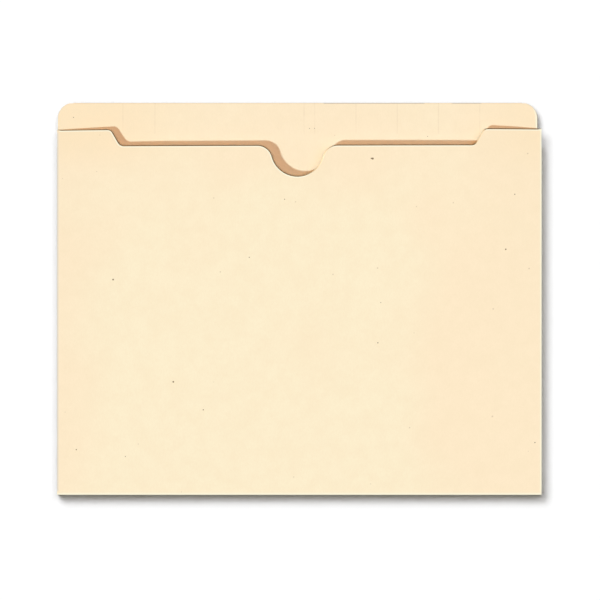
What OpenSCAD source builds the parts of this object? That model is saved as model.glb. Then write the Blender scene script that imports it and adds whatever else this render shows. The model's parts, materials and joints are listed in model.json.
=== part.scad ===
// Flat file jacket: one die-cut card, folded and glued into a pocket that is open along its top.
// It lies on its back. X runs across it, Y from the bottom fold to the index tab, Z out of its front.
// The origin is the middle of its outline, on the surface that it lies on. Sizes are in millimetres.

/* [Jacket] */
// Width over the two side folds
jacket_w = 298.45; // [240:0.05:400]
// Height from the bottom fold to the top of the tab
jacket_h = 241.3; // [180:0.1:360]
// Thickness of the card
card_t = 0.28; // [0.2:0.01:0.5]
// Sideways place of the die-cut top edges, from the middle between the side folds
register_x = -1; // [-1.5:0.1:1.5]

/* [Index tab] */
// How far each end of the tab stands in from the side fold
tab_inset = 1.6; // [1.5:0.1:12]
// Radius of the tab's top corners
tab_corner_r = 9.5; // [2:0.5:18]
// Height of the second ply that is folded behind the tab
ply_h = 19; // [12:0.5:24]
// Length of the slope where the back rises over the edge of the second ply
ply_step = 5; // [2:0.5:6]

/* [Front panel] */
// Drop from the top of the tab to the shoulders
shoulder_drop = 16.5; // [10:0.5:30]
// Drop from the shoulders to the straight edge between them
undercut_drop = 10; // [8:0.5:20]
// Width of a shoulder, from the side of the jacket to the middle of its slope
shoulder_w = 37.6; // [30:0.1:60]
// Steepness of the slope between a shoulder and the straight edge, in degrees
slope_angle = 60; // [45:1:75]
// Radius at the top and the foot of that slope
slope_r = 3.8; // [1:0.1:5]
// How far the sides of the front panel stand in from the side folds
front_setback = 0.15; // [0.05:0.05:1]

/* [Thumb notch] */
// Depth of the notch below the straight edge
notch_depth = 19; // [14:0.5:28]
// Radius of the bottom of the notch
notch_r = 16; // [13:0.5:24]
// Radius of its two lips
lip_r = 9.5; // [5:0.5:14]

/* [Mouth] */
// Gap between the front and the back at the straight edge, as the card stands at rest
mouth_gap = 5.8; // [4.8:0.1:12]
// Width over which the front rises from each side fold to its full height
bow_run = 60; // [40:1:75]

/* [Side flaps] */
// Width of a flap
flap_w = 22; // [14:0.5:30]
// Height over which each end of a flap tapers
flap_taper = 9; // [3:0.5:20]
// How far a flap stops short of the bottom fold, and of the rise of the tab
flap_relief = 3; // [1:0.5:8]
// Gap left inside a side fold
fold_gap = 0.1; // [0.06:0.02:0.3]

/* [Adhesive] */
// Thickness of the adhesive
glue_t = 0.05; // [0.03:0.01:0.1]
// Width of a seam's line of adhesive
glue_w = 8; // [4:0.5:10]
// Distance from the side fold to that line
glue_inset = 2; // [1:0.5:3]
// How far the adhesive stops short of the ends of what it holds
glue_margin = 4; // [2:0.5:6]

/* [Running clearances] */
// Room between the front panel and the adhesive under it
seam_clearance = 0.05; // [0.03:0.01:0.2]
// Room between the front panel's lower edge and the bottom fold
hinge_clearance = 0.15; // [0.1:0.05:0.5]

/* [Hidden] */

// Steps along an arc, across each rise of the bow, and up the bow
ARC_STEPS = 8;
BOW_STEPS = 8;
RISE_STEPS = 8;
// Length by which a cutting shape runs past what it cuts
PAST = 1;
$fn = 48;

// Colours of the card and the adhesive
card_color = [0.98, 0.90, 0.76];
shade_color = [0.93, 0.83, 0.67];
glue_color = [0.85, 0.70, 0.42];

// The stack at the sides, from the surface up: back, flap, adhesive, front
flap_z = card_t + fold_gap;
seam_z = flap_z + card_t;
front_z = seam_z + glue_t + seam_clearance;
// How far the front bows at the mouth, above its height at the side folds
mouth_lift = card_t + mouth_gap - front_z;

// Outer radii of the three kinds of fold
side_fold_r = card_t + fold_gap / 2;
tab_fold_r = card_t + glue_t / 2;
bottom_fold_r = (front_z + card_t) / 2;

// Levels up the jacket
bottom_y = -jacket_h / 2;
top_y = jacket_h / 2;
hinge_y = bottom_y + bottom_fold_r;
shoulder_y = top_y - shoulder_drop;
undercut_y = shoulder_y - undercut_drop;
tab_crease_y = top_y - tab_fold_r;
ply_y = top_y - ply_h;
tab_rise = card_t + glue_t;
rise_end_y = ply_y - seam_clearance;
rise_start_y = rise_end_y - ply_step;
flap_low_y = hinge_y + flap_relief;
flap_high_y = rise_start_y - flap_relief;

// Distances across the jacket
side_x = jacket_w / 2 - side_fold_r;
front_x = jacket_w / 2 - front_setback;
tab_x = jacket_w / 2 - tab_inset;
slope_x = jacket_w / 2 - shoulder_w;

// Points along an arc, between two angles
function arc(centre, r, from, to) =
    [for (i = [0:ARC_STEPS]) let (a = from + (to - from) * i / ARC_STEPS) centre + r * [cos(a), sin(a)]];

// The same edge on the other side, in reverse order
function mirrored(points) = [for (i = [len(points) - 1:-1:0]) [-points[i].x, points[i].y]];

// The left half of the front's top edge: shoulder, slope, straight edge and one lip of the notch
slope_run = undercut_drop / tan(slope_angle) / 2 + slope_r * tan(slope_angle / 2);
notch_centre = [0, undercut_y - notch_depth + notch_r];
lip_y = undercut_y - lip_r;
lip_x = sqrt(pow(notch_r + lip_r, 2) - pow(notch_centre.y - lip_y, 2));
lip_angle = atan2(notch_centre.y - lip_y, lip_x);
top_edge_left = concat(
    arc([-slope_x - slope_run, shoulder_y - slope_r], slope_r, 90, 90 - slope_angle),
    arc([-slope_x + slope_run, undercut_y + slope_r], slope_r, 270 - slope_angle, 270),
    arc([-lip_x, lip_y], lip_r, 90, lip_angle)
);
notch_floor = arc(notch_centre, notch_r, 180 + lip_angle, 360 - lip_angle);

// How far the card bows: not at the side folds and the hinge, and fully in the middle of the mouth
function quarter_wave(t) = sin(90 * min(max(t, 0), 1));
function across(x) = quarter_wave((side_x - abs(x)) / bow_run);
function upward(y) = quarter_wave((y - hinge_y) / (undercut_y - hinge_y));
function lift(x, y) = mouth_lift * across(x) * upward(y);

// The lines on which a bowed sheet bends
rise_x = [for (i = [0:BOW_STEPS]) side_x - bow_run * i / BOW_STEPS];
bend_x = concat(
    [-jacket_w / 2 - PAST],
    [for (x = rise_x) -x],
    [for (i = [BOW_STEPS:-1:0]) rise_x[i]],
    [jacket_w / 2 + PAST]
);
bend_y = concat(
    [hinge_y - PAST],
    [for (i = [0:RISE_STEPS]) hinge_y + (undercut_y - hinge_y) * i / RISE_STEPS],
    [shoulder_y + PAST]
);

// Half of a ring along X: the section of a folded card, open towards the panels
module fold_along_x(length, r, wall, side) {
    rotate([90, 0, 90])
        linear_extrude(length, center = true)
            intersection() {
                difference() {
                    circle(r);
                    circle(r - wall);
                }
                translate([side > 0 ? 0 : -r - PAST, -r - PAST])
                    square([r + PAST, 2 * (r + PAST)]);
            }
}

// A plain sheet that bows up to the mouth, larger than the front on every side
module bowed_sheet(base_z, thickness) {
    cols = len(bend_x);
    rows = len(bend_y);
    layer = cols * rows;
    function at(i, j, k) = k * layer + j * cols + i;
    points = [
        for (k = [0:1], y = bend_y, x = bend_x) [x, y, base_z + lift(x, y) + k * thickness]
    ];
    top = [
        for (j = [0:rows - 2], i = [0:cols - 2])
            each [
                [at(i, j, 1), at(i, j + 1, 1), at(i + 1, j + 1, 1)],
                [at(i, j, 1), at(i + 1, j + 1, 1), at(i + 1, j, 1)]
            ]
    ];
    under = [for (f = top) [f[2] - layer, f[1] - layer, f[0] - layer]];
    ends = [
        for (j = [0:rows - 2])
            each [
                [at(0, j + 1, 0), at(0, j + 1, 1), at(0, j, 1), at(0, j, 0)],
                [at(cols - 1, j, 0), at(cols - 1, j, 1), at(cols - 1, j + 1, 1), at(cols - 1, j + 1, 0)]
            ]
    ];
    edges = [
        for (i = [0:cols - 2])
            each [
                [at(i, 0, 0), at(i, 0, 1), at(i + 1, 0, 1), at(i + 1, 0, 0)],
                [at(i + 1, rows - 1, 0), at(i + 1, rows - 1, 1), at(i, rows - 1, 1), at(i, rows - 1, 0)]
            ]
    ];
    polyhedron(points, concat(top, under, ends, edges));
}

// An outline cut out of a bowed sheet, so that the front, its adhesive and its flaps bow as one stack
module bowed_cut(base_z, thickness) {
    intersection() {
        bowed_sheet(base_z, thickness);
        linear_extrude(front_z + mouth_lift + card_t + PAST)
            children();
    }
}

// Outline of the tab from a given level up, with its round top corners
module tab_outline(from_y) {
    translate([register_x, 0])
        polygon(concat(
            [[tab_x, from_y]],
            arc([tab_x - tab_corner_r, top_y - tab_corner_r], tab_corner_r, 0, 90),
            arc([tab_corner_r - tab_x, top_y - tab_corner_r], tab_corner_r, 90, 180),
            [[-tab_x, from_y]]
        ));
}

// Outline of the front panel, with the die-cut top edge moved to its register
module front_outline() {
    low_y = hinge_y + hinge_clearance;
    edge = concat(top_edge_left, notch_floor, mirrored(top_edge_left));
    polygon(concat(
        [[-front_x, low_y], [-front_x, shoulder_y]],
        [for (p = edge) p + [register_x, 0]],
        [[front_x, shoulder_y], [front_x, low_y]]
    ));
}

// Outline of the right flap, tapered at both ends
module flap_outline() {
    polygon([
        [side_x, flap_low_y],
        [side_x, flap_high_y],
        [side_x - flap_w, flap_high_y - flap_taper],
        [side_x - flap_w, flap_low_y + flap_taper]
    ]);
}

// The back, in section: level, then a gentle rise so that the tab lies on its second ply
module back_section() {
    under = [[hinge_y, 0], [rise_start_y, 0], [rise_end_y, tab_rise], [tab_crease_y, tab_rise]];
    polygon(concat(under, [for (i = [len(under) - 1:-1:0]) under[i] + [0, card_t]]));
}

module back_panel() {
    color(card_color)
        intersection() {
            rotate([90, 0, 90])
                linear_extrude(jacket_w, center = true)
                    back_section();
            translate([0, 0, -PAST])
                linear_extrude(tab_rise + card_t + 2 * PAST)
                    union() {
                        translate([-side_x, bottom_y])
                            square([2 * side_x, flap_high_y - bottom_y]);
                        tab_outline(flap_high_y);
                    }
        }
}

module tab_fold() {
    color(card_color)
        translate([register_x, tab_crease_y, tab_fold_r])
            fold_along_x(2 * (tab_x - tab_corner_r), tab_fold_r, card_t, 1);
}

module tab_ply() {
    color(shade_color)
        linear_extrude(card_t)
            intersection() {
                tab_outline(ply_y);
                translate([-jacket_w, ply_y])
                    square([2 * jacket_w, tab_crease_y - ply_y]);
            }
}

module tab_glue() {
    length = 2 * (tab_x - tab_corner_r);
    color(glue_color)
        translate([register_x - length / 2, ply_y + glue_margin, card_t])
            cube([length, tab_crease_y - ply_y - 2 * glue_margin, glue_t]);
}

module bottom_fold() {
    color(card_color)
        translate([0, hinge_y, bottom_fold_r])
            fold_along_x(2 * front_x, bottom_fold_r, card_t, -1);
}

module front_panel() {
    color(card_color)
        bowed_cut(front_z, card_t)
            front_outline();
}

// The right-hand one of each pair; the left is its mirror image
module side_fold() {
    color(card_color)
        translate([side_x, (flap_low_y + flap_high_y) / 2, side_fold_r])
            rotate([0, 0, -90])
                fold_along_x(flap_high_y - flap_low_y, side_fold_r, card_t, 1);
}

module side_flap() {
    color(shade_color)
        bowed_cut(flap_z, card_t)
            flap_outline();
}

module seam_glue() {
    low_y = flap_low_y + flap_taper + glue_margin;
    high_y = flap_high_y - flap_taper - glue_margin;
    color(glue_color)
        bowed_cut(seam_z, glue_t)
            translate([side_x - glue_inset - glue_w, low_y])
                square([glue_w, high_y - low_y]);
}

module left_side_fold() { mirror([1, 0, 0]) side_fold(); }
module right_side_fold() { side_fold(); }
module left_side_flap() { mirror([1, 0, 0]) side_flap(); }
module right_side_flap() { side_flap(); }
module left_seam_glue() { mirror([1, 0, 0]) seam_glue(); }
module right_seam_glue() { seam_glue(); }

back_panel();
tab_fold();
tab_ply();
tab_glue();
bottom_fold();
front_panel();
left_side_fold();
right_side_fold();
left_side_flap();
right_side_flap();
left_seam_glue();
right_seam_glue();
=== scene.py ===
# %% [markdown]
# # A manila file jacket
# The solids of the part come first, as a fixed frame. Everything below is made around them, in metres,
# so a piece that is drawn from the frame's own numbers needs no fitting afterwards.

# %% Load the frame
import json
import math
from functools import reduce

import bmesh
import bpy
import numpy as np
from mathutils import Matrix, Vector
from mathutils.geometry import delaunay_2d_cdt


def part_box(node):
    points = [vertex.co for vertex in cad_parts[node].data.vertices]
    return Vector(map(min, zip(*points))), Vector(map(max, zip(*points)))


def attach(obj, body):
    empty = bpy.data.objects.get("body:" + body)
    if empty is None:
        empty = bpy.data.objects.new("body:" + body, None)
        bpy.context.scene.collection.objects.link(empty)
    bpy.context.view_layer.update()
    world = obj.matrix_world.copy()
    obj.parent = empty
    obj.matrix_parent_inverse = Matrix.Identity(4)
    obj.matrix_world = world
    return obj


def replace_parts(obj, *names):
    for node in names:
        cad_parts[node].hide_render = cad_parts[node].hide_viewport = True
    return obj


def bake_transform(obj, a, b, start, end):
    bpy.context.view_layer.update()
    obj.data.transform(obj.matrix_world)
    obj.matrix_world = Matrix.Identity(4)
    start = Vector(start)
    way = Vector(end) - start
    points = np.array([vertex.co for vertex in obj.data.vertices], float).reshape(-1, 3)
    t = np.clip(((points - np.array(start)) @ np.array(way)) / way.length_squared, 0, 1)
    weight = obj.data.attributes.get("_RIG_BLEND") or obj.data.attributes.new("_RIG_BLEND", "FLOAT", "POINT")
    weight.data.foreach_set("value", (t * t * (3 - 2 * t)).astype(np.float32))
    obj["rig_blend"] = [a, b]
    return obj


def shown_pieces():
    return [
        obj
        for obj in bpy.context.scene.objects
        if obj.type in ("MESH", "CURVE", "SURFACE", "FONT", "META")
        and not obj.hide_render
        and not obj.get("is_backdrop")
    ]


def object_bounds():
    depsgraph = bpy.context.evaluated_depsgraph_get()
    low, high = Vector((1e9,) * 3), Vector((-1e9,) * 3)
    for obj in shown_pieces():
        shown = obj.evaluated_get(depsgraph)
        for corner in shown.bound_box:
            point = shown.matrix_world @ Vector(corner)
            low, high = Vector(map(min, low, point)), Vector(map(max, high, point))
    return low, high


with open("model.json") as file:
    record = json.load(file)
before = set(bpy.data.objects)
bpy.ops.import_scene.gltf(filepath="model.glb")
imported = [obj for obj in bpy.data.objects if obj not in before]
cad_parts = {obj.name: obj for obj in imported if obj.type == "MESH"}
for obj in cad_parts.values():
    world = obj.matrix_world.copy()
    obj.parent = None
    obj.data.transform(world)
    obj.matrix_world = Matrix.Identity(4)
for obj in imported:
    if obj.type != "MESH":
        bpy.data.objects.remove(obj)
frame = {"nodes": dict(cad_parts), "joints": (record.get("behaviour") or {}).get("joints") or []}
cad_low, cad_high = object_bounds()
MM = 0.001
print("nodes:", sorted(frame["nodes"]))
print("size in mm:", [round(v / MM, 2) for v in cad_high - cad_low])

# %% [markdown]
# ## The measures of the jacket
# Every piece shares a few measures, such as the thickness of the card and the lines where it folds. They
# could be typed in, but they can be read off the boxes of the solids, so that the picture follows the part
# if it is changed. What a box doesn't show, such as a radius, is written further down, where it is first
# needed, as the maker of the cutting die would give it.

# %% Read the measures
front_low, front_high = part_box("front_panel")
_, back_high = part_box("back_panel")
ply_low, ply_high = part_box("tab_ply")
hinge = Vector(frame["joints"][0]["pos_m"])

UNDERCUT_DROP = 10 * MM
CARD = ply_high.z - ply_low.z
SIDE_X = cad_high.x
FOLD_X = back_high.x
DIE_X = (ply_low.x + ply_high.x) / 2
TAB_TOP_Y = cad_high.y
PLY_Y = ply_low.y
SHOULDER_Y = front_high.y
UNDERCUT_Y = SHOULDER_Y - UNDERCUT_DROP
FRONT_Z = front_low.z
print("card:", round(CARD / MM, 3), "mm, front over the table:", round(FRONT_Z / MM, 3), "mm")
print("tab, shoulder, undercut at y:", [round(y / MM, 1) for y in (TAB_TOP_Y, SHOULDER_Y, UNDERCUT_Y)], "mm")

# %% [markdown]
# ## The camera
# The photograph looks straight at the front, so the camera hangs straight above the jacket, which lies on
# its back. A camera without perspective would keep its sides parallel, and so does a long lens, which still
# shows the raised front a trace larger, as a real one does. The height follows from the lens and from the
# width that the picture covers, so nothing is set by eye.

# %% Hang the camera
PHOTO_PIXELS = 600
MM_PER_PIXEL = 0.616
JACKET_CENTRE_PIXEL = (299.3, 298.8)
LENS_MM = 120
SENSOR_MM = 36

camera_data = bpy.data.cameras.new("camera")
camera_data.lens = LENS_MM
camera_data.sensor_width = SENSOR_MM
camera = bpy.data.objects.new("camera", camera_data)
bpy.context.scene.collection.objects.link(camera)
view_width = PHOTO_PIXELS * MM_PER_PIXEL * MM
off_x, off_y = ((PHOTO_PIXELS / 2 - p) * MM_PER_PIXEL * MM for p in JACKET_CENTRE_PIXEL)
camera.location = (off_x, -off_y, view_width * LENS_MM / SENSOR_MM)
bpy.context.scene.camera = camera
print("camera height:", round(camera.location.z, 3), "m")

# %% [markdown]
# ## A small language for materials
# Materials are graphs of nodes. Written node by node they hide what they do, so one class wraps a socket
# and lets Python's own operators add the Math nodes: `1 - mask` reads as what it is. Every other kind of
# node comes from the one method `add`.

# %% Wrap the sockets


class Shade:
    """One output socket of a material, which operators combine with numbers and other sockets."""

    def __init__(self, tree, socket=None):
        self.tree = tree
        self.socket = socket

    def add(self, kind, settings=None, inputs=None, out=0):
        """Adds a node: its settings first, then the values or links of its inputs. Gives one output."""
        made = self.tree.nodes.new("ShaderNode" + kind)
        for name, value in (settings or {}).items():
            setattr(made, name, value)
        for key, value in (inputs or {}).items():
            if isinstance(value, Shade):
                self.tree.links.new(value.socket, made.inputs[key])
            else:
                made.inputs[key].default_value = value
        return Shade(self.tree, made.outputs[out])

    def math(self, operation, *values):
        return self.add("Math", {"operation": operation}, dict(enumerate(values)))

    def __add__(self, other):
        return self.math("ADD", self, other)

    def __sub__(self, other):
        return self.math("SUBTRACT", self, other)

    def __rsub__(self, other):
        return self.math("SUBTRACT", other, self)

    def __mul__(self, other):
        return self.math("MULTIPLY", self, other)

    def __abs__(self):
        return self.math("ABSOLUTE", self)

    __radd__ = __add__
    __rmul__ = __mul__

    def most(self, other):
        return self.math("MAXIMUM", self, other)

    def step(self, low, high):
        """Rises smoothly from 0 at low to 1 at high, or falls if low is the greater."""
        inputs = {"Value": self, "From Min": low, "From Max": high}
        return self.add("MapRange", {"interpolation_type": "SMOOTHSTEP"}, inputs)

    def blend(self, colour_at_0, colour_at_1):
        """Mixes two colours by this mask. The Mix node's colours are its inputs 6 and 7 and its output 2."""
        return self.add("Mix", {"data_type": "RGBA"}, {0: self, 6: colour_at_0, 7: colour_at_1}, 2)

    def part(self, axis):
        """One part of this vector, X, Y or Z."""
        return self.add("SeparateXYZ", None, {"Vector": self}, axis)

    def stretched(self, x, y, z):
        """This vector with each part multiplied."""
        return self.add("VectorMath", {"operation": "MULTIPLY"}, {0: self, 1: (x, y, z)})

    def noise(self, size, detail, roughness=0.5):
        """Cloudy noise over these coordinates, with blobs of about the given size."""
        inputs = {"Vector": self, "Scale": 1 / size, "Detail": detail, "Roughness": roughness}
        return self.add("TexNoise", None, inputs)


def any_of(masks):
    """The strongest of several masks at each point."""
    return reduce(Shade.most, masks)


print("operators on sockets: + - * abs")

# %% Start a material


def srgb(red, green, blue):
    """A colour from its screen values of 0 to 255, as the linear numbers that sockets take."""

    def linear(value):
        share = value / 255
        return share / 12.92 if share <= 0.04045 else ((share + 0.055) / 1.055) ** 2.4

    return (linear(red), linear(green), linear(blue), 1.0)


def new_material(name):
    """An empty material with a Principled shader: the material, the shader and a start for expressions."""
    material = bpy.data.materials.new(name)
    material.use_nodes = True
    shader = material.node_tree.nodes["Principled BSDF"]
    return material, shader, Shade(material.node_tree)


def feed(shader, **sockets):
    """Links expressions to the shader's sockets, or sets numbers on them. A _ stands for a space."""
    for name, value in sockets.items():
        socket = shader.inputs[name.replace("_", " ")]
        if isinstance(value, Shade):
            value.tree.links.new(value.socket, socket)
        else:
            socket.default_value = value


print("middle grey as a linear number:", round(srgb(128, 128, 128)[0], 3))

# %% [markdown]
# ## Manila card
# Manila card is pale buff, uncoated and made of pressed fibre. Close up it is never one colour: the tone
# drifts between pinkish and yellowish over some centimetres, it is cloudy over some millimetres, and
# scattered dark flecks of fibre lie in it. A picture of card would tile and blur, so each of these is a
# noise of its own size. A few marks are large enough to be seen one by one, so each is a dot at its own
# place. Handling shows too: the tab and the sides are warmer and lines are pressed across the tab. Two
# stretches of its top fold are greyer. The rims carry painted light, from an attribute of the mesh: above 0
# a rim is paler than the face, a painted highlight, and below 0 greyer, a painted shade. All of these lie
# on the card as layers, each with a strength and a tint. The lines have their strength in their mask,
# because the clouds vary it.

# %% Choose the card's layers, from the lowest up
BUFF = srgb(254, 240, 207)
AGED_BUFF = srgb(255, 235, 202)
LAYERS = {
    "handled": (0.60, srgb(255, 229, 188)),
    "cloud": (0.34, srgb(249, 229, 194)),
    "fibre": (0.27, srgb(247, 226, 191)),
    "line": (1.00, srgb(208, 178, 140)),
    "fleck": (0.30, srgb(150, 116, 74)),
    "mark": (0.92, srgb(104, 82, 48)),
    "grey_top_fold": (0.60, srgb(188, 178, 164)),
    # The last two layers are painted light along the rims: a painted shade and a painted highlight.
    "rim painted shade": (0.80, srgb(225, 218, 208)),
    "rim painted highlight": (0.90, srgb(255, 250, 224)),
}
print("layers:", ", ".join(LAYERS))

# %% Scatter the flecks
FLECK_CELL = 24 * MM
FLECK_CHOICE = (0.80, 0.82)
FLECK_LEAST = 0.004
FLECK_SPREAD = 0.012
FLECK_FADE = 0.012


def flecks(place):
    """Dark specks: a few cells of a scattered pattern, each with a dot of its own size."""
    flat = {"voronoi_dimensions": "2D"}
    pattern = {"Vector": place, "Scale": 1 / FLECK_CELL, "Randomness": 1.0}
    distance = place.add("TexVoronoi", flat, pattern, "Distance")
    lot = place.add("TexVoronoi", flat, pattern, "Color")
    chosen = place.add("SeparateColor", None, {"Color": lot}, "Red").step(*FLECK_CHOICE)
    size = place.add("SeparateColor", None, {"Color": lot}, "Green") * FLECK_SPREAD + FLECK_LEAST
    return (distance - size).step(FLECK_FADE, 0.0) * chosen


print("one fleck in about", round(1 / (1 - FLECK_CHOICE[0])), "cells of", round(FLECK_CELL / MM), "mm")

# %% Place the marks, each by x, y and radius in millimetres
MARK_CORE = 0.4
MARKS = [
    (44.2, 86.0, 0.60),
    (45.0, 85.9, 0.85),
    (-114.3, 11.8, 0.70),
    (-77.4, -51.0, 0.70),
    (126.8, 30.4, 0.63),
    (-137.2, -92.8, 0.50),
    (-59.0, -68.2, 0.49),
    (48.2, -27.0, 0.50),
    (145.0, -88.5, 0.47),
    (132.4, 64.2, 0.45),
    (-30.7, 25.4, 0.41),
    (-107.0, -97.0, 0.37),
    (-9.0, 61.0, 0.39),
    (50.0, -2.3, 0.34),
    (-139.0, 111.7, 0.36),
    (79.0, 100.0, 0.30),
    (6.3, 104.9, 0.30),
    (9.4, 104.9, 0.30),
]


def marks(place):
    """The large dark marks, each a dot that is full in its core and fades to its rim."""
    flat = place.stretched(1.0, 1.0, 0.0)
    dots = []
    for x, y, radius in MARKS:
        inputs = {0: flat, 1: (x * MM, y * MM, 0.0)}
        distance = place.add("VectorMath", {"operation": "DISTANCE"}, inputs, "Value")
        dots.append(distance.step(radius * MM, MARK_CORE * radius * MM))
    return any_of(dots)


print(len(MARKS), "marks, the largest", max(radius for _, _, radius in MARKS), "mm in radius")

# %% Press the lines across the tab
EVEN_LINES = 5
EVEN_LINE_START = 9.5 * MM
EVEN_LINE_PITCH = 25.4 * MM
STRAY_LINES = [2.9 * MM, -88.9 * MM, -108.6 * MM]
LINE_HALF = 0.55 * MM
LINE_CORE = 0.1 * MM
PLY_FADE = 0.2 * MM
TAB_LINES = [EVEN_LINE_START + i * EVEN_LINE_PITCH for i in range(EVEN_LINES)] + STRAY_LINES


def tab_lines(x, y):
    """The faint lines pressed across the tab, from its top to the edge of its second ply."""
    lines = any_of([abs(x - at).step(LINE_HALF, LINE_CORE) for at in TAB_LINES])
    return lines * y.step(PLY_Y - PLY_FADE, PLY_Y + PLY_FADE)


print("tab lines at x:", [round(at / MM, 1) for at in TAB_LINES], "mm")

# %% Grey two stretches of the top fold, each by its middle and half length
TOP_GREY_STRETCHES = [(46 * MM, 30 * MM), (103 * MM, 8 * MM)]
TOP_GREY_FADE = 2 * MM
TOP_GREY_START = 0.7 * MM
TOP_GREY_FULL = 0.4 * MM


# This layer makes two stretches of the tab's top fold greyer.
def grey_top_fold(x, y):
    """Grey along two stretches of the tab's top fold."""
    stretches = any_of([abs(x - middle).step(half + TOP_GREY_FADE, half) for middle, half in TOP_GREY_STRETCHES])
    return stretches * y.step(TAB_TOP_Y - TOP_GREY_START, TAB_TOP_Y - TOP_GREY_FULL)


print("top_fold_grey:", [round(2 * half / MM) for _, half in TOP_GREY_STRETCHES], "mm of the fold")

# %% Cloud the card and lay its fibre
CLOUD = {"size": 9 * MM, "detail": 4.0, "roughness": 0.6}
CLOUD_SPAN = (0.3, 0.7)
FIBRE = {"size": 0.9 * MM, "detail": 3.0, "roughness": 0.65}
FIBRE_SPAN = (0.25, 0.75)
FIBRE_STRETCH = 0.45


def clouds(place):
    """Darker clouds, some millimetres wide."""
    return place.noise(**CLOUD).step(*CLOUD_SPAN)


def fibres(place):
    """Fine pressed fibre, drawn out along the jacket's height."""
    return place.stretched(1.0, FIBRE_STRETCH, 1.0).noise(**FIBRE).step(*FIBRE_SPAN)


print("clouds of", round(CLOUD["size"] / MM, 1), "mm, fibre of", round(FIBRE["size"] / MM, 1), "mm")

# %% Age and handle the card
TONE = {"size": 70 * MM, "detail": 1.0}
AGED_MIDDLE_X = -25 * MM
AGED_HALF = 60 * MM
AGED_BELOW_UNDERCUT = 50 * MM
HANDLED_MIDDLE_X = 20 * MM
HANDLED_HALF = 70 * MM
HANDLED_BELOW_UNDERCUT = 20 * MM


def aged(place, x, y):
    """How far the tone has gone from yellowish to pinkish: in patches, at the sides and towards the tab."""
    tone = (place.noise(**TONE) - 0.5) * 2.0
    at_sides = abs(x - AGED_MIDDLE_X).step(AGED_HALF, SIDE_X)
    at_tab = y.step(UNDERCUT_Y - AGED_BELOW_UNDERCUT, PLY_Y)
    return (tone + at_sides.most(at_tab)).step(0.0, 1.0)


def handled(x, y):
    """Where hands have warmed the card: towards both ends of the tab."""
    at_sides = abs(x - HANDLED_MIDDLE_X).step(HANDLED_HALF, SIDE_X)
    return y.step(UNDERCUT_Y - HANDLED_BELOW_UNDERCUT, PLY_Y) * at_sides


print("patches of tone:", round(TONE["size"] / MM), "mm")

# %% Mix the card's face
LINE_STRENGTH = 0.05
LINE_IN_CLOUD = 0.11
RIM_SHADE_SPAN = (0.0, -1.0)
RIM_HIGHLIGHT_SPAN = (0.1, 0.5)
FIBRE_BUMP = {"Strength": 0.12, "Distance": 0.03 * MM}
CARD_ROUGHNESS = 0.80
FIBRE_ROUGHNESS = 0.12
CARD_SPECULAR = 0.25


def make_card_face():
    """The card's pressed face: its drifting buff, then each layer over it."""
    material, shader, start = new_material("manila_card")
    place = start.add("TexCoord", None, None, "Object")
    x = place.part("X")
    y = place.part("Y")
    rim = start.add("Attribute", {"attribute_name": "rim"}, None, "Fac")
    cloud = clouds(place)
    fibre = fibres(place)
    masks = {
        "handled": handled(x, y),
        "cloud": cloud,
        "fibre": fibre,
        "line": tab_lines(x, y) * (LINE_STRENGTH + cloud * LINE_IN_CLOUD),
        "fleck": flecks(place),
        "mark": marks(place),
        "grey_top_fold": grey_top_fold(x, y),
        # The rim attribute paints shade where it is below 0 and a highlight where it is above 0.
        "rim painted shade": rim.step(*RIM_SHADE_SPAN),
        "rim painted highlight": rim.step(*RIM_HIGHLIGHT_SPAN),
    }
    colour = aged(place, x, y).blend(BUFF, AGED_BUFF)
    for name, (strength, tint) in LAYERS.items():
        colour = (masks[name] * strength).blend(colour, tint)
    bump = start.add("Bump", None, {"Height": fibre, **FIBRE_BUMP}, "Normal")
    feed(shader, Base_Color=colour, Roughness=CARD_ROUGHNESS + fibre * FIBRE_ROUGHNESS, Normal=bump)
    feed(shader, Specular_IOR_Level=CARD_SPECULAR)
    return material


card_face = make_card_face()
print("card nodes:", len(card_face.node_tree.nodes))

# %% [markdown]
# ## The cut edge and the adhesive
# A cut edge shows the inside of the sheet, which is browner and rougher than the pressed face. A mask in
# the card's own material could show it, but the edge is a row of faces of its own, so a second material on
# the same mesh is simpler. The adhesive dries to a thin amber film, glossier than the card, with streaks
# along the line in which it was drawn. Both are one noise, pulled out in one direction.

# %% Make the cut edge
EDGE_PALE = srgb(250, 226, 184)
EDGE_BROWN = srgb(236, 206, 162)
PLIES = {"size": 0.5 * MM, "detail": 3.0, "roughness": 0.7}
PLIES_SPAN = (0.3, 0.7)
PLIES_SQUEEZE = 6.0
EDGE_ROUGHNESS = 0.85
PLIES_ROUGHNESS = 0.1
EDGE_SPECULAR = 0.2


def make_cut_edge():
    """The inside of the card: thin plies along the sheet."""
    material, shader, start = new_material("cut_edge")
    place = start.add("TexCoord", None, None, "Object")
    plies = place.stretched(1.0, 1.0, PLIES_SQUEEZE).noise(**PLIES).step(*PLIES_SPAN)
    colour = plies.blend(EDGE_PALE, EDGE_BROWN)
    feed(shader, Base_Color=colour, Roughness=EDGE_ROUGHNESS + plies * PLIES_ROUGHNESS)
    feed(shader, Specular_IOR_Level=EDGE_SPECULAR)
    return material


cut_edge = make_cut_edge()
print("cut edge nodes:", len(cut_edge.node_tree.nodes))

# %% Make the adhesive
AMBER_PALE = srgb(214, 176, 112)
AMBER_DARK = srgb(190, 148, 84)
STREAKS = {"size": 2.0 * MM, "detail": 4.0, "roughness": 0.6}
STREAKS_SPAN = (0.3, 0.7)
STREAKS_STRETCH = 0.1
FILM_ROUGHNESS = 0.30
STREAKS_ROUGHNESS = 0.2


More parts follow.
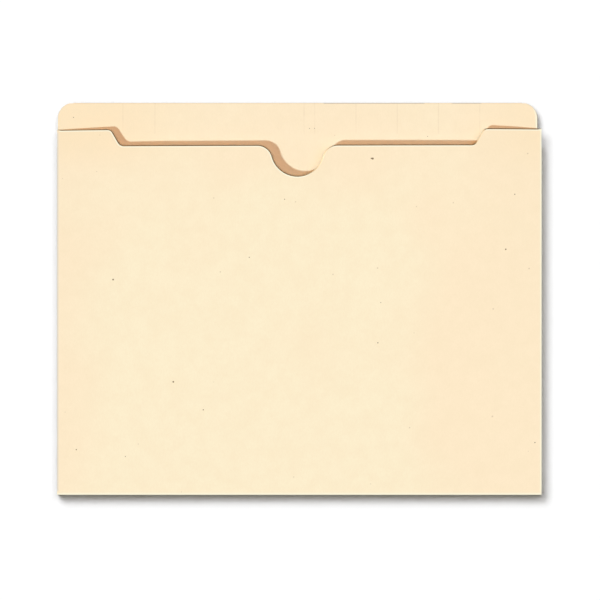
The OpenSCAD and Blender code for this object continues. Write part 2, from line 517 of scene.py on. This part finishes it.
def make_adhesive():
    """The dried film, streaked along the jacket's height."""
    material, shader, start = new_material("adhesive_film")
    place = start.add("TexCoord", None, None, "Object")
    streaks = place.stretched(1.0, STREAKS_STRETCH, 1.0).noise(**STREAKS).step(*STREAKS_SPAN)
    colour = streaks.blend(AMBER_PALE, AMBER_DARK)
    feed(shader, Base_Color=colour, Roughness=FILM_ROUGHNESS + streaks * STREAKS_ROUGHNESS)
    return material


adhesive = make_adhesive()
print("adhesive nodes:", len(adhesive.node_tree.nodes))

# %% [markdown]
# ## A sheet of card
# Every panel is a sheet: an outline, a height over the table and the thickness of the card. A cube scaled
# flat could not bend, and a grid could not follow round cuts. So the outline is filled by a triangulation
# over a fine grid of points, then lifted point by point. Two extra loops just inside the outline give the
# edge its small bevel and carry the painted highlight and painted shade of the rim. A die's blade is a
# wedge, so a cut edge slants a little.
# Where the sheet runs on into a fold there is no cut: the edge stays upright there and keeps the finish of
# the face.

# %% Draw outlines
GRID = 2.5 * MM
ARC_STEPS = 20


def arc(centre, radius, start, end):
    """Points along an arc, between two angles in radians."""
    angles = np.linspace(start, end, ARC_STEPS + 1)
    return [(centre[0] + radius * math.cos(a), centre[1] + radius * math.sin(a)) for a in angles]


def resampled(outline):
    """The closed outline, anticlockwise, with no side longer than the grid."""
    points = np.array(outline)
    following = np.roll(points, -1, axis=0)
    if np.sum(points[:, 0] * following[:, 1] - following[:, 0] * points[:, 1]) < 0:
        points = points[::-1]
        following = np.roll(points, -1, axis=0)
    found = []
    for a, b in zip(points, following):
        parts = max(1, math.ceil(np.linalg.norm(b - a) / GRID))
        found += [a + (b - a) * k / parts for k in range(parts)]
    return np.array(found)


def inset(loop, distance):
    """The loop moved inwards by a distance, or one for each point, with mitred corners."""
    forward = np.roll(loop, -1, axis=0) - loop
    forward /= np.linalg.norm(forward, axis=1)[:, None]
    inward = np.stack([-forward[:, 1], forward[:, 0]], axis=1)
    both = inward + np.roll(inward, 1, axis=0)
    return loop + both * (2 * distance / np.sum(both * both, axis=1))[:, None]


def outward(loop):
    """The direction, one unit long, in which each point of the loop faces."""
    away = loop - inset(loop, 1.0)
    return away / np.linalg.norm(away, axis=1)[:, None]


print("points", round(GRID / MM, 1), "mm apart, arcs of", ARC_STEPS, "steps")

# %% Fill an outline
RIM_W = 1.5 * MM
GRID_MARGIN = 0.4 * GRID
TRIANGLES_INSIDE = 1
WELD = 1e-5


def inside(points, loop):
    """Which points lie inside a loop, by counting the sides that a ray to the right crosses."""
    crossed = np.zeros(len(points), int)
    for (ax, ay), (bx, by) in zip(loop, np.roll(loop, -1, axis=0)):
        spans = (points[:, 1] < ay) != (points[:, 1] < by)
        if ay != by:
            x = ax + (points[:, 1] - ay) * (bx - ax) / (by - ay)
            crossed += spans & (points[:, 0] < x)
    return crossed % 2 == 1


def filled(loop, bevel):
    """Triangles that fill a sheet: bevel loop, rim loop and a grid. Gives their points and corners."""
    low, high = loop.min(axis=0), loop.max(axis=0)
    rows_and_columns = [np.arange(a, b, GRID) for a, b in zip(low, high)]
    grid = np.stack(np.meshgrid(*rows_and_columns), axis=-1).reshape(-1, 2)
    grid = grid[inside(grid, inset(loop, RIM_W + GRID_MARGIN))]
    points = np.concatenate([inset(loop, bevel), inset(loop, RIM_W), grid]) / MM
    n = len(loop)
    sides = [(s + k, s + (k + 1) % n) for s in (0, n) for k in range(n)]
    result = delaunay_2d_cdt([Vector(p) for p in points], sides, [], TRIANGLES_INSIDE, WELD)
    if len(result[0]) != len(points):
        raise ValueError("two points of the sheet fell together")
    return np.array(result[0]) * MM, result[2]


print("rim", round(RIM_W / MM, 1), "mm wide")

# %% Make a mesh


def new_piece(name, verts, faces, materials, smooth=True):
    """A mesh object in the scene, with its materials."""
    mesh = bpy.data.meshes.new(name)
    mesh.from_pydata([tuple(v) for v in verts], [], faces)
    mesh.validate()
    for material in materials:
        mesh.materials.append(material)
    mesh.polygons.foreach_set("use_smooth", [smooth] * len(mesh.polygons))
    piece = bpy.data.objects.new(name, mesh)
    bpy.context.scene.collection.objects.link(piece)
    print(name, len(mesh.vertices), "points,", len(mesh.polygons), "faces")
    return piece


def set_rim(mesh, values):
    """Stores the painted light at each point, for the card's material: a painted highlight above 0, a
    painted shade below 0.
    """
    mesh.attributes.new("rim", "FLOAT", "POINT").data.foreach_set("value", values)


print("meshes of the frame:", len(bpy.data.meshes))

# %% Raise a sheet
BEVEL = 0.04 * MM
CUT_SLANT = 0.12 * MM
SHEET_SHARP = math.radians(30)


def card_sheet(
    name, outline, height, thickness=CARD, materials=(card_face, cut_edge), slant=CUT_SLANT,
    folds=lambda x, y: False, rim_light_shade=lambda out_x, out_y: 1.0,
):
    """A sheet over an outline, with its underside at height(x, y) and its cut edge slanted inwards.

    folds(x, y) tells where it isn't cut. The last argument gives the painted light of its rim where it faces
    each way: a painted highlight above 0, a painted shade below 0.
    """
    loop = resampled(outline)
    n = len(loop)
    bevel = min(BEVEL, thickness / 4)
    folded = [folds(x, y) for x, y in loop]
    slants = np.array([0.0 if on_fold else slant for on_fold in folded])
    flat, triangles = filled(loop, bevel)
    m = len(flat)
    upper = flat.copy()
    upper[:n] = inset(loop, slants + bevel)
    shoulder = inset(loop, slants)

    def raised(points, up):
        return np.array([(x, y, height(x, y) + up) for x, y in points])

    # The points come in four groups: the top, the bottom, and the upper and lower edge of the cut.
    verts = np.concatenate([
        raised(upper, thickness), raised(flat, 0), raised(shoulder, thickness - bevel), raised(loop, bevel),
    ])
    top = [tuple(t) for t in triangles]
    bottom = [tuple(i + m for i in reversed(t)) for t in triangles]
    # The border joins four rings, given by their first points: top, both edges of the cut, bottom.
    rings = [0, 2 * m, 2 * m + n, m]
    border = [
        (a + k, b + k, b + (k + 1) % n, a + (k + 1) % n)
        for a, b in zip(rings[:-1], rings[1:])
        for k in range(n)
    ]
    piece = new_piece(name, verts, top + bottom + border, materials)
    mesh = piece.data
    cut = [0 if folded[k] and folded[(k + 1) % n] else len(materials) - 1 for k in range(n)]
    mesh.polygons.foreach_set("material_index", [0] * (2 * len(top)) + cut * (len(rings) - 1))
    mesh.set_sharp_from_angle(angle=SHEET_SHARP)
    # Painted highlight and shade on the rim, by the way each point of the outline faces; none inside.
    pale = np.array([rim_light_shade(x, y) for x, y in outward(loop)], np.float32)
    no_rim_light = np.zeros(m - n, np.float32)
    set_rim(mesh, np.concatenate([pale, no_rim_light, pale, no_rim_light, pale, pale]))
    return piece


print("bevel", round(BEVEL / MM, 2), "mm, slant of a cut", round(CUT_SLANT / MM, 2), "mm")

# %% [markdown]
# ## The bow of the mouth
# An empty jacket isn't flat. Its front starts from the side folds and from the bottom fold, and stands off
# the back by a few millimetres at the mouth. A cloth simulation could bend it, but the flaps behind it
# would then have to be fitted to the result. A formula in x and y serves them all: a quarter of a wave
# across and another one upward. A low crown, a lean to one side and a ripple keep the mouth from looking
# ruled.

# %% Bow the card
MOUTH_LIFT = front_high.z - CARD - FRONT_Z
BOW_RUN = 60 * MM
CROWN = 0.10
CROWN_RUN = 100 * MM
CROWN_BASE = 0.3
LEAN = 0.04
RIPPLE = 0.015
RIPPLE_LENGTH = 150 * MM


def quarter_wave(t):
    return math.sin(math.pi / 2 * min(max(t, 0.0), 1.0))


def bow(x, y):
    """How far the card stands above its height at the folds: most in the middle of the mouth."""
    across = quarter_wave((FOLD_X - abs(x)) / BOW_RUN)
    upward = quarter_wave((y - hinge.y) / (UNDERCUT_Y - hinge.y))
    crown = CROWN * (quarter_wave(1 - abs(x) / CROWN_RUN) - CROWN_BASE)
    lean = LEAN * x / SIDE_X
    ripple = RIPPLE * math.sin(2 * math.pi * x / RIPPLE_LENGTH)
    return MOUTH_LIFT * across * upward * (1 + crown + lean + ripple)


print("bow in the middle of the mouth:", round(bow(0, UNDERCUT_Y) / MM, 2), "mm")

# %% [markdown]
# ## The front panel
# The front is the piece that the eye goes to: shoulders at both sides, an S-shaped step, a straight edge
# and a thumb notch, all cut by one die. A free curve could trace it, but a die is bent from straight and
# round pieces, so the outline is made of arcs, tangent to each other. The card lay a little askew under the
# die, so the cut climbs to the right. The front's cut slants more than the others, so that it shows from
# above as a thin line. The edge becomes an object of its own, because a lamp can be kept to an object but
# not to some of its faces.

# %% Draw the front's outline
FRONT_X = front_high.x
SHOULDER_W = 37.6 * MM
SLOPE_X = SIDE_X - SHOULDER_W
SLOPE_ANGLE = math.radians(60)
SLOPE_R = 3.8 * MM
NOTCH_DEPTH = 19 * MM
NOTCH_R = 16 * MM
LIP_R = 9.5 * MM
DIE_SKEW = math.radians(0.15)
DIE_PIVOT_X = -76 * MM


def front_outline():
    """The die-cut outline, from its left half and the mirror image of that."""
    run = UNDERCUT_DROP / math.tan(SLOPE_ANGLE) / 2 + SLOPE_R * math.tan(SLOPE_ANGLE / 2)
    quarter = math.pi / 2
    notch_y = UNDERCUT_Y - NOTCH_DEPTH + NOTCH_R
    lip_y = UNDERCUT_Y - LIP_R
    lip_x = math.sqrt((NOTCH_R + LIP_R) ** 2 - (notch_y - lip_y) ** 2)
    lip_angle = math.atan2(notch_y - lip_y, lip_x)
    left = (
        arc((-SLOPE_X - run, SHOULDER_Y - SLOPE_R), SLOPE_R, quarter, quarter - SLOPE_ANGLE)
        + arc((-SLOPE_X + run, UNDERCUT_Y + SLOPE_R), SLOPE_R, 3 * quarter - SLOPE_ANGLE, 3 * quarter)
        + arc((-lip_x, lip_y), LIP_R, quarter, lip_angle)
    )
    notch = arc((0, notch_y), NOTCH_R, math.pi + lip_angle, 2 * math.pi - lip_angle)[1:-1]
    right = [(-x, y) for x, y in reversed(left)]
    edge = [(x + DIE_X, y) for x, y in left + notch + right]
    top = [(-FRONT_X, SHOULDER_Y), *edge, (FRONT_X, SHOULDER_Y)]
    skewed = [(x, y + (x - DIE_PIVOT_X) * math.tan(DIE_SKEW)) for x, y in top]
    return [(-FRONT_X, hinge.y), *skewed, (FRONT_X, hinge.y)]


front_points = front_outline()
print("front outline:", len(front_points), "points")

# %% Cut the front
FRONT_SLANT = 0.52 * MM
NEAR = 0.01 * MM
SIDEWAYS = 0.99
DOWNWARD = -0.5
# Painted light on the front's rim: shade along the left fold, highlights along the right and bottom folds.
LEFT_FOLD_SHADE = -1.0
RIGHT_FOLD_HIGHLIGHT = 0.55
BOTTOM_FOLD_HIGHLIGHT = 0.45


def front_rim_light(out_x, out_y):
    """Painted shade along the left fold, a painted highlight along the other two and where the cut faces up
    or right.
    """
    if out_x < -SIDEWAYS:
        return LEFT_FOLD_SHADE
    if out_x > SIDEWAYS:
        return RIGHT_FOLD_HIGHLIGHT
    if out_y < DOWNWARD:
        return BOTTOM_FOLD_HIGHLIGHT
    return min(max(out_x + out_y, 0.0), 1.0)


front_card = card_sheet(
    "front_card",
    front_points,
    lambda x, y: FRONT_Z + bow(x, y),
    slant=FRONT_SLANT,
    folds=lambda x, y: y < hinge.y + NEAR or abs(x) > FRONT_X - NEAR,
    rim_light_shade=front_rim_light,
)

# %% Part the cut edge from the front


def split_border(piece, name):
    """Moves the cut edge of a sheet, which has the second material, to an object of its own."""
    border = bpy.data.objects.new(name, piece.data.copy())
    border.data.name = name
    bpy.context.scene.collection.objects.link(border)
    for one, dropped in ((piece, 1), (border, 0)):
        edit = bmesh.new()
        edit.from_mesh(one.data)
        unwanted = [face for face in edit.faces if face.material_index == dropped]
        bmesh.ops.delete(edit, geom=unwanted, context="FACES")
        edit.to_mesh(one.data)
        edit.free()
    return border


front_edge = split_border(front_card, "front_edge")
for part in (front_card, front_edge):
    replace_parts(part, "front_panel")
    print(part.name, "keeps", len(part.data.polygons), "faces")

# %% [markdown]
# ## The back panel and the tab
# The back runs the full height and ends in the index tab, whose two corners are round. Near the top it
# rises by one ply, because the tab is folded down behind itself and lies on that second ply. One mesh with
# a doubled top could show both, but the part keeps them as two solids, so each is a sheet of its own. A
# smooth step in the back's height makes the rise.

# %% Cut the back
TAB_HALF = (ply_high.x - ply_low.x) / 2
TAB_RISE = back_high.z - CARD
TAB_CREASE_Y = back_high.y
TAB_CORNER_R = 9.5 * MM
PLY_STEP = 5 * MM
BACK_HIGHLIGHT_FALL = 4
flap_low, flap_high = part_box("right_side_flap")
FLAP_TOP_Y = flap_high.y


def back_height(x, y):
    """Underside of the back: on the table, then up onto the second ply."""
    t = min(max((y - PLY_Y + PLY_STEP) / PLY_STEP, 0.0), 1.0)
    return TAB_RISE * t * t * (3 - 2 * t)


def tab_corner_points():
    """The tab's two round corners, from the right one to the left one, cut level at its crease."""
    centre_y = TAB_TOP_Y - TAB_CORNER_R
    end = math.asin((TAB_CREASE_Y - centre_y) / TAB_CORNER_R)
    right = arc((TAB_HALF - TAB_CORNER_R, centre_y), TAB_CORNER_R, 0, end)
    left = [(-x, y) for x, y in reversed(right)]
    return [(x + DIE_X, y) for x, y in right + left]


back_outline = [
    (-FOLD_X, FLAP_TOP_Y), (-FOLD_X, hinge.y), (FOLD_X, hinge.y), (FOLD_X, FLAP_TOP_Y),
    (DIE_X + TAB_HALF, FLAP_TOP_Y), *tab_corner_points(), (DIE_X - TAB_HALF, FLAP_TOP_Y),
]
# The back's rim gets a painted highlight where its cut faces right.
back_card = card_sheet(
    "back_card",
    back_outline,
    back_height,
    folds=lambda x, y: abs(x) > FOLD_X - NEAR or y < hinge.y + NEAR or y > TAB_CREASE_Y - NEAR,
    rim_light_shade=lambda out_x, out_y: max(out_x, 0.0) ** BACK_HIGHLIGHT_FALL,
)
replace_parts(back_card, "back_panel")

# %% Cut the tab's second ply
ply_outline = [(DIE_X - TAB_HALF, PLY_Y), (DIE_X + TAB_HALF, PLY_Y), *tab_corner_points()]
ply_card = card_sheet(
    "tab_ply_card",
    ply_outline,
    lambda x, y: ply_low.z,
    folds=lambda x, y: y > TAB_CREASE_Y - NEAR,
)
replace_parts(ply_card, "tab_ply")
for sheet in (back_card, ply_card):
    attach(sheet, "back")

# %% [markdown]
# ## The flaps and the adhesive
# The side flaps turn in from the back, and a line of adhesive holds each of them to the front. They could
# stay flat, since the photograph doesn't show them, but then the bowed front would part from them. So flap
# and adhesive take the same bow as the front does. The film inside the tab lies flat between two plies. Its
# solid has the right shape already, so it stays and only gets the adhesive's finish.

# %% Cut the flaps
FLAP_TAPER = 9 * MM


def flap_card(side, name, node):
    """A flap at one side, 1 for the right or -1 for the left, tapered at both ends."""
    outer, inner = flap_high.x, flap_low.x
    corners = [
        (outer, flap_low.y), (outer, FLAP_TOP_Y),
        (inner, FLAP_TOP_Y - FLAP_TAPER), (inner, flap_low.y + FLAP_TAPER),
    ]
    piece = card_sheet(
        name,
        [(side * x, y) for x, y in corners],
        lambda x, y: flap_low.z + bow(x, y),
        folds=lambda x, y: abs(x) > outer - NEAR,
    )
    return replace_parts(piece, node)


left_flap = flap_card(-1, "left_flap_card", "left_side_flap")
right_flap = flap_card(1, "right_flap_card", "right_side_flap")

# %% Lay the adhesive
film_low, film_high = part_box("right_seam_glue")
tab_film_low, tab_film_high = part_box("tab_glue")
FILM = tab_film_high.z - tab_film_low.z


def seam_film(side, name, node):
    """The line of adhesive between a flap and the front."""
    low_y, high_y = film_low.y, film_high.y
    corners = [(film_low.x, low_y), (film_high.x, low_y), (film_high.x, high_y), (film_low.x, high_y)]
    piece = card_sheet(
        name,
        [(side * x, y) for x, y in corners],
        lambda x, y: flap_low.z + CARD + bow(x, y),
        FILM,
        (adhesive,),
    )
    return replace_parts(piece, node)


left_film = seam_film(-1, "left_seam_film", "left_seam_glue")
right_film = seam_film(1, "right_seam_film", "right_seam_glue")

tab_film = frame["nodes"]["tab_glue"]
tab_film.data.materials.clear()
tab_film.data.materials.append(adhesive)
print("films of", round(FILM / MM, 3), "mm")

# %% [markdown]
# ## The folds
# A scored card doesn't fold to a knife edge: the outside of the bend is a half round as thick as the stack
# it closes. A bevel on one long sheet could give that, but in this part each fold is a solid of its own. So
# each bend is half a tube that fills the box of its own solid, and one function makes all four.

# %% Bend the folds
BEND_STEPS = 12
BEND_LENGTH = 4 * MM
BEND_SHARP = math.radians(40)


def folded_edge(name, node, bulge, rim_light_shade):
    """Half a tube of card in the box of a fold's solid, bulging one way, with a painted highlight as strong
    as its last argument.
    """
    low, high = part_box(node)
    bulge = Vector(bulge)
    along = Vector((abs(bulge.y), abs(bulge.x), 0))
    radius = (high.z - low.z) / 2
    axis_start = Vector((low.x, low.y, low.z + radius))
    if bulge.x + bulge.y < 0:
        axis_start += Vector(((high.x - low.x) * abs(bulge.x), (high.y - low.y) * abs(bulge.y), 0))
    length = (high - low).dot(along)
    rows = math.ceil(length / BEND_LENGTH)
    angles = np.linspace(-math.pi / 2, math.pi / 2, BEND_STEPS + 1)
    ring = [(radius, a) for a in angles] + [(radius - CARD, a) for a in reversed(angles)]
    around = [bulge * (r * math.cos(a)) + Vector((0, 0, r * math.sin(a))) for r, a in ring]
    verts = [axis_start + along * (length * row / rows) + out for row in range(rows + 1) for out in around]
    n = len(ring)
    walls = [
        (row * n + k, row * n + (k + 1) % n, (row + 1) * n + (k + 1) % n, (row + 1) * n + k)
        for row in range(rows)
        for k in range(n)
    ]
    ends = [tuple(range(n)), tuple(rows * n + k for k in reversed(range(n)))]
    piece = new_piece(name, verts, walls + ends, [card_face])
    piece.data.set_sharp_from_angle(angle=BEND_SHARP)
    set_rim(piece.data, np.full(len(verts), rim_light_shade, np.float32))
    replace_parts(piece, node)
    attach(piece, "back")
    print("radius", round(radius / MM, 3), "mm, length", round(length / MM, 1), "mm")
    return piece


# The bottom and right bends get a painted highlight, the tab and left bends none.
bends = [
    folded_edge("bottom_fold_bend", "bottom_fold", (0, -1, 0), rim_light_shade=1.0),
    folded_edge("tab_fold_bend", "tab_fold", (0, 1, 0), rim_light_shade=0.0),
    folded_edge("left_fold_bend", "left_side_fold", (-1, 0, 0), rim_light_shade=0.0),
    folded_edge("right_fold_bend", "right_side_fold", (1, 0, 0), rim_light_shade=1.0),
]

# %% [markdown]
# ## How the front opens
# When a hand pulls the mouth open, the front turns about the bottom fold, but its sides stay at the side
# folds. A stiff front would tear away from them, so it bends between two bodies: a point near a fold stays
# with the back, and a point in the middle follows the front. Three ramps are needed, so their weights are
# multiplied. The flaps and their adhesive get the same weights, or the seams would open.

# %% Blend the front between its two bodies
HINGE_RUN = 25 * MM


def blend_by_ramps(piece, ramps):
    """Blends a piece from the back to the front by the product of several ramps."""
    weights = np.ones(len(piece.data.vertices), np.float32)
    ramp = np.zeros_like(weights)
    for start, end in ramps:
        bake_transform(piece, "back", "front", start=start, end=end)
        piece.data.attributes["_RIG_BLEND"].data.foreach_get("value", ramp)
        weights *= ramp
    piece.data.attributes["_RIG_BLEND"].data.foreach_set("value", weights)
    return weights


inner_x = FOLD_X - BOW_RUN
ramps = [
    ((-FOLD_X, 0, 0), (-inner_x, 0, 0)),
    ((FOLD_X, 0, 0), (inner_x, 0, 0)),
    ((0, hinge.y, 0), (0, hinge.y + HINGE_RUN, 0)),
]
for piece in (front_card, front_edge, left_flap, right_flap, left_film, right_film):
    weights = blend_by_ramps(piece, ramps)
    print(piece.name, "follows the front by up to", round(float(weights.max()), 3))

# %% [markdown]
# ## The floor
# The jacket lies on white paper. A plane with one white material would be enough for a picture of the
# paper, but it would throw much light back into the open mouth and wash out its shadow, which is deep and
# brown in the photograph. So the paper is white for the rays that show it, and much darker for the rays
# that only carry its light elsewhere.

# %% Lay the floor
FLOOR_HALF = 3.0
FLOOR_GAP = 0.05 * MM
FLOOR_WHITE = (0.98, 0.98, 0.98, 1)
FLOOR_BOUNCE = (0.15, 0.15, 0.15, 1)


def seen_directly(start):
    """1 for the rays that show a thing, 0 for those that only carry its light elsewhere."""
    kinds = ("Is Camera Ray", "Is Glossy Ray", "Is Transmission Ray")
    return any_of([start.add("LightPath", None, None, kind) for kind in kinds])


paper, paper_shader, paper_start = new_material("white_paper")
paper_colour = seen_directly(paper_start).blend(FLOOR_BOUNCE, FLOOR_WHITE)
feed(paper_shader, Base_Color=paper_colour, Roughness=1.0, Specular_IOR_Level=0.0)
floor = new_piece(
    "floor",
    [(x * FLOOR_HALF, y * FLOOR_HALF, -FLOOR_GAP) for x, y in ((-1, -1), (1, -1), (1, 1), (-1, 1))],
    [(0, 1, 2, 3)],
    [paper],
    smooth=False,
)
floor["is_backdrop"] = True

# %% [markdown]
# ## The lamps on the jacket
# The photograph was lit from several sides and its lights don't agree, so no one lamp could stand for them.
# Light linking lets each lamp reach only what it is meant for. The key lamp at the lower left makes the
# front's edge throw its shadow up and to the right onto the tab. That shadow is warm, so a soft warm lamp
# fills it, and the key is cooler by as much: together they are white. A weak cool lamp at the right misses
# a strip of the tab beside each edge that faces left, so a warm band stays there. The front's face is
# evenly bright, so its lamp is straight above, and the folds are lit from the lower right, where they are
# brightest. The front's cut edge is dark apart from what faces left, so a low lamp grazes it from there,
# and a trace of warm light keeps the rest of it brown.

# %% Make a lamp


def sun(name, receivers, azimuth, elevation, angle, levels):
    """A distant lamp for some objects, which gives a level surface these shares of full red, green and blue.

    Its angles are in degrees: azimuth round from +X, elevation above the floor, and the angle it spans.
    """
    azimuth, elevation = math.radians(azimuth), math.radians(elevation)
    data = bpy.data.lights.new(name, "SUN")
    data.angle = math.radians(angle)
    data.color = [level / max(levels) for level in levels]
    data.energy = max(levels) * math.pi / math.sin(elevation)
    lamp = bpy.data.objects.new(name, data)
    bpy.context.scene.collection.objects.link(lamp)
    level_part = math.cos(elevation)
    towards = Vector((level_part * math.cos(azimuth), level_part * math.sin(azimuth), math.sin(elevation)))
    lamp.rotation_euler = towards.to_track_quat("Z", "Y").to_euler()
    group = bpy.data.collections.new("lit_by_" + name)
    for one in receivers:
        group.objects.link(one)
    lamp.light_linking.receiver_collection = group
    print(name, "lights", len(receivers), "objects")


# %% Hang the lamps
FILL_LEVELS = (0.115, 0.1, 0.075)
SHADOW_SHARE = (0.615, 0.455, 0.37)
COOL_LEVELS = (0.04, 0.085, 0.13)
GRAZE_LEVELS = (0.24, 0.24, 0.24)
EDGE_LEVELS = (0.06, 0.025, 0.0)
KEY = {"azimuth": 214.5, "elevation": 46, "angle": 5}
COOL = {"azimuth": 15, "elevation": 58, "angle": 40}
WARM = {"azimuth": 0, "elevation": 90, "angle": 30}
TOP = {"azimuth": 0, "elevation": 90, "angle": 20}
FOLD = {"azimuth": 315, "elevation": 62, "angle": 10}
GRAZE = {"azimuth": 199, "elevation": 5, "angle": 4}

others = [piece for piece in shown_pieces() if piece not in (front_card, front_edge, *bends)]
key_levels = [1 - share for share in SHADOW_SHARE]
warm_levels = [share - fill - cool for share, fill, cool in zip(SHADOW_SHARE, FILL_LEVELS, COOL_LEVELS)]
face_levels = [1 - fill for fill in FILL_LEVELS]
sun("key_lamp", others, levels=key_levels, **KEY)
sun("cool_lamp", others, levels=COOL_LEVELS, **COOL)
sun("warm_lamp", others, levels=warm_levels, **WARM)
sun("top_lamp", [front_card], levels=face_levels, **TOP)
sun("fold_lamp", bends, levels=face_levels, **FOLD)
sun("graze_lamp", [front_edge], levels=GRAZE_LEVELS, **GRAZE)
sun("edge_lamp", [front_edge], levels=EDGE_LEVELS, **WARM)

# %% [markdown]
# ## The shadow on the floor
# The soft shadow round the outline falls mostly to the lower right. One wide lamp would make it soft, but
# alike on every side. A lamp throws the shadow of the jacket's edge by a fixed step over the floor, so many
# lamps are placed by these steps instead. They form a cloud in a sunflower pattern, thickest at its middle,
# and the shadow fades out where fewer and fewer of them are hidden. A few more steps carry a faint halo
# round to the left and the top.

# %% Choose the steps of the shadow
FLOOR_LAMPS = 20
FLOOR_STEP_MIDDLE = (3.7 * MM, -5.0 * MM)
FLOOR_STEP_SPREAD = 2.2 * MM
HALO_STEPS = [(-2.0, -3.4), (-3.0, -5.0), (-4.0, -3.4), (-2.4, -1.6), (-0.6, 2.8)]
GOLDEN_ANGLE = math.pi * (3 - math.sqrt(5))


def floor_steps():
    """How far each floor lamp throws the shadow of an edge, across and along the jacket."""
    steps = [(x * MM, y * MM) for x, y in HALO_STEPS]
    for k in range(FLOOR_LAMPS):
        radius = FLOOR_STEP_SPREAD * math.sqrt(-2 * math.log(1 - (k + 0.5) / FLOOR_LAMPS))
        across = FLOOR_STEP_MIDDLE[0] + radius * math.cos(k * GOLDEN_ANGLE)
        along = FLOOR_STEP_MIDDLE[1] + radius * math.sin(k * GOLDEN_ANGLE)
        steps.append((across, along))
    return steps


steps = floor_steps()
print("longest step:", round(max(math.hypot(*step) for step in steps) / MM, 1), "mm")

# %% Throw the shadow
FLOOR_LEVEL = 1.06
FLOOR_STEP_BLUR = 1.5 * MM
WIDEST_LAMP = 40
EDGE_HEIGHT = FRONT_Z + CARD

floor_levels = [(FLOOR_LEVEL - fill) / len(steps) for fill in FILL_LEVELS]
for k, (across, along) in enumerate(steps):
    reach = math.hypot(across, along)
    blur = math.degrees(2 * FLOOR_STEP_BLUR * EDGE_HEIGHT / (EDGE_HEIGHT**2 + reach**2))
    sun(
        f"floor_lamp_{k}",
        [floor],
        azimuth=math.degrees(math.atan2(-along, -across)),
        elevation=math.degrees(math.atan2(EDGE_HEIGHT, reach)),
        angle=min(blur, WIDEST_LAMP),
        levels=floor_levels,
    )

# %% [markdown]
# ## The sky
# A black sky would leave the shadows black, and a picture of a studio would bring its own colours along. So
# the sky is one weak, warm fill, and it is white where the camera sees it. The Standard view shows colours
# as they are written, with no curve on top.

# %% Set the sky
SKY_WHITE = (1, 1, 1, 1)

world = bpy.data.worlds.new("world")
world.use_nodes = True
bpy.context.scene.world = world
background = world.node_tree.nodes["Background"]
sky = seen_directly(Shade(world.node_tree)).blend((*FILL_LEVELS, 1), SKY_WHITE)
feed(background, Color=sky, Strength=1.0)
bpy.context.scene.view_settings.view_transform = "Standard"
print("sky levels:", FILL_LEVELS)
